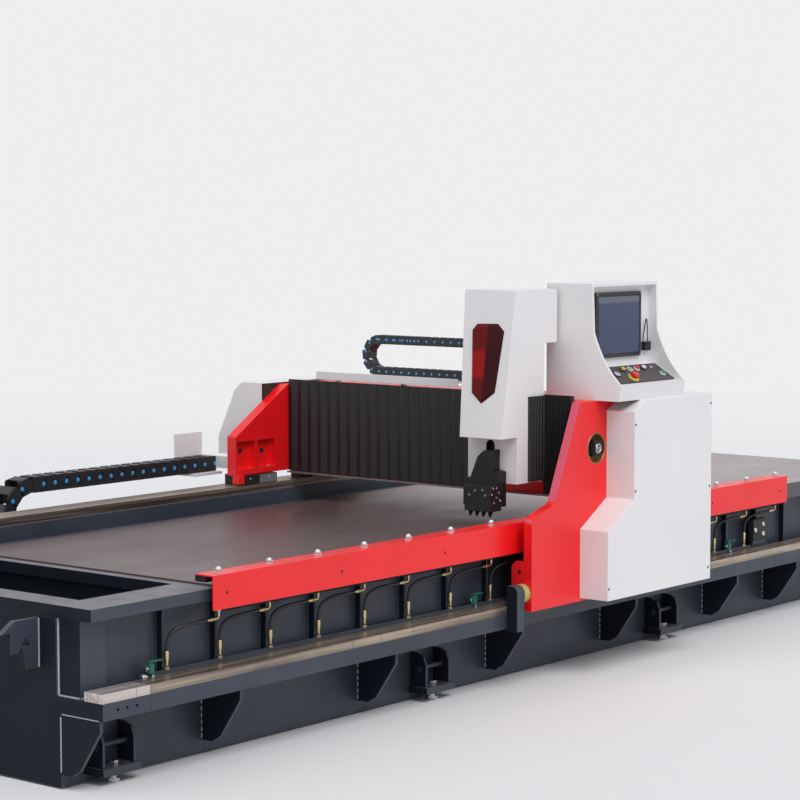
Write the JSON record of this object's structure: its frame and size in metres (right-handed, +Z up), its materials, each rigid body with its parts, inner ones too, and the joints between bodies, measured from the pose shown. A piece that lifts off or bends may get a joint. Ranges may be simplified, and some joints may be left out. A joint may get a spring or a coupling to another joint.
{
  "type": "v-grooving machine",
  "caption": "Gantry grooving machine for sheet metal: long welded bed with a flat table, travelling gantry, cutting head on a beam, side clamp and operator console.",
  "frame": {"origin": "on the floor, under the middle of the machine's overall length and width", "axes": "+X along the bed away from its open pocket end, +Y from the operator's side to the far side, +Z up"},
  "size_m": [6.256, 2.298, 1.724],
  "materials": {
    "bed_paint": "semi-gloss dark slate paint",
    "red_paint": "gloss red paint",
    "white_paint": "fine textured white paint",
    "grey_paint": "grey paint",
    "ground_steel": "ground and lightly oiled",
    "dark_steel": "blackened steel",
    "bright_steel": "bright turned steel",
    "brass": "plain brass",
    "hose_rubber": "black hose rubber",
    "buffer_yellow": "yellow elastomer",
    "chain_plastic": "black moulded chain links",
    "bellows_cloth": "coated pleated cloth",
    "window_tint": "dark red tinted acrylic",
    "screen_black": "display glass and frame",
    "panel_black": "dark panel",
    "valve_green": "green lever",
    "cap_yellow": "moulded cap",
    "cap_red": "moulded cap",
    "cap_white": "moulded cap",
    "cap_green": "moulded cap"
  },
  "bodies": {
    "bed": {"near_wall": "bed_paint", "ledge": "bed_paint", "upper_wall": "bed_paint", "end_walls": "bed_paint", "far_side": "bed_paint", "cross_beams": "bed_paint", "rim_frame": "ground_steel", "table_plate": "ground_steel", "x_rails": "ground_steel", "gear_rack": "dark_steel", "foot_brackets": "bed_paint", "jack_bolts": "bright_steel", "manifold": "bed_paint", "clamp_cylinders": "grey_paint", "brass_fittings": "brass", "clamp_hoses": "hose_rubber", "travel_stop": "bed_paint", "stop_buffer": "buffer_yellow", "chain_trough": "grey_paint", "x_chain_lower": "chain_plastic"},
    "side_clamp": {"clamp_guard": "red_paint", "clamp_bars": "dark_steel"},
    "gantry": {"near_leg": "red_paint", "far_leg": "red_paint", "crossbeam": "red_paint", "guide_blocks": "dark_steel", "cabinet_cover": "white_paint", "far_cover": "white_paint", "chain_bracket": "white_paint", "x_drive": "dark_steel", "screw_bearings": "dark_steel", "y_rails": "bright_steel", "bellows_left": "bellows_cloth", "bellows_right": "bellows_cloth", "chain_tray": "white_paint", "y_chain_lower": "chain_plastic", "console_housing": "white_paint", "screen": "screen_black", "control_panel": "panel_black", "x_chain_upper": "chain_plastic"},
    "x_chain_turn": {"x_chain_bend": "chain_plastic"},
    "y_chain_turn": {"y_chain_bend": "chain_plastic"},
    "pinion": {"drive_pinion": "dark_steel"},
    "screw": {"y_screw": "bright_steel"},
    "head": {"head_carriage": "white_paint", "head_cover": "white_paint", "head_window": "window_tint", "slide_motor": "dark_steel", "y_chain_upper": "chain_plastic"},
    "tool": {"tool_slide": "dark_steel", "tool_holder": "dark_steel"},
    "valve_1": {"valve_handle_1": "valve_green"},
    "valve_2": {"valve_handle_2": "valve_green"},
    "valve_3": {"valve_handle_3": "valve_green"},
    "yellow": {"yellow_button": "cap_yellow"},
    "red": {"red_button": "cap_red"},
    "white": {"white_button": "cap_white"},
    "green": {"green_button": "cap_green"},
    "estop": {"e_stop": "cap_red"},
    "key": {"key_switch": "bright_steel"}
  },
  "joints": [
    {"name": "gantry_travel", "type": "slide", "parent": "bed", "child": "gantry", "axis": [1, 0, 0], "range_m": [0, 1.5], "deforming": ["x_chain_lower", "x_chain_upper"]},
    {"name": "x_chain_turn_travel", "type": "slide", "parent": "gantry", "child": "x_chain_turn", "axis": [1, 0, 0], "range_m": [-0.76, 0.01]},
    {"name": "pinion_spin", "type": "hinge", "parent": "gantry", "child": "pinion", "pos_m": [0.23398, -0.886, 0.5247], "axis": [0, 1, 0], "continuous": true},
    {"name": "head_travel", "type": "slide", "parent": "gantry", "child": "head", "axis": [0, 1, 0], "range_m": [0, 1], "deforming": ["bellows_left", "bellows_right", "y_chain_lower", "y_chain_upper"]},
    {"name": "screw_spin", "type": "hinge", "parent": "gantry", "child": "screw", "pos_m": [-0.018, -0.219, 1.003], "axis": [0, 1, 0], "continuous": true},
    {"name": "y_chain_turn_travel", "type": "slide", "parent": "gantry", "child": "y_chain_turn", "axis": [0, 1, 0], "range_m": [-0.01, 0.51]},
    {"name": "tool_feed", "type": "slide", "parent": "head", "child": "tool", "axis": [0, 0, 1], "range_m": [-0.05, 0.04]},
    {"name": "clamp_stroke", "type": "slide", "parent": "bed", "child": "side_clamp", "axis": [0, 0, 1], "range_m": [-0.014, 0]},
    {"name": "valve_turn_1", "type": "hinge", "parent": "bed", "child": "valve_1", "pos_m": [-2.61, -0.824, 0.418], "axis": [0, 0, 1], "range_deg": [-90, 0]},
    {"name": "valve_turn_2", "type": "hinge", "parent": "bed", "child": "valve_2", "pos_m": [-0.678, -0.824, 0.418], "axis": [0, 0, 1], "range_deg": [-90, 0]},
    {"name": "valve_turn_3", "type": "hinge", "parent": "bed", "child": "valve_3", "pos_m": [1.395, -0.824, 0.418], "axis": [0, 0, 1], "range_deg": [-90, 0]},
    {"name": "yellow_press", "type": "slide", "parent": "gantry", "child": "yellow", "axis": [0, 0.509, -0.8608], "range_m": [0, 0.004], "stiffness_N_per_m": 200},
    {"name": "red_press", "type": "slide", "parent": "gantry", "child": "red", "axis": [0, 0.509, -0.8608], "range_m": [0, 0.004], "stiffness_N_per_m": 200},
    {"name": "white_press", "type": "slide", "parent": "gantry", "child": "white", "axis": [0, 0.509, -0.8608], "range_m": [0, 0.004], "stiffness_N_per_m": 200},
    {"name": "green_press", "type": "slide", "parent": "gantry", "child": "green", "axis": [0, 0.509, -0.8608], "range_m": [0, 0.004], "stiffness_N_per_m": 200},
    {"name": "e_stop_press", "type": "slide", "parent": "gantry", "child": "estop", "axis": [0, 0.509, -0.8608], "range_m": [0, 0.004], "stiffness_N_per_m": 400},
    {"name": "key_turn", "type": "hinge", "parent": "gantry", "child": "key", "pos_m": [0.396, -1.00751, 1.33237], "axis": [0, -0.509, 0.8608], "range_deg": [-90, 0]}
  ],
  "couplings": [
    {"joint": "x_chain_turn_travel", "follows": "gantry_travel", "ratio": -0.5},
    {"joint": "pinion_spin", "follows": "gantry_travel", "rad_per_m": -20},
    {"joint": "screw_spin", "follows": "head_travel", "rad_per_m": 314.16},
    {"joint": "y_chain_turn_travel", "follows": "head_travel", "ratio": 0.5}
  ]
}
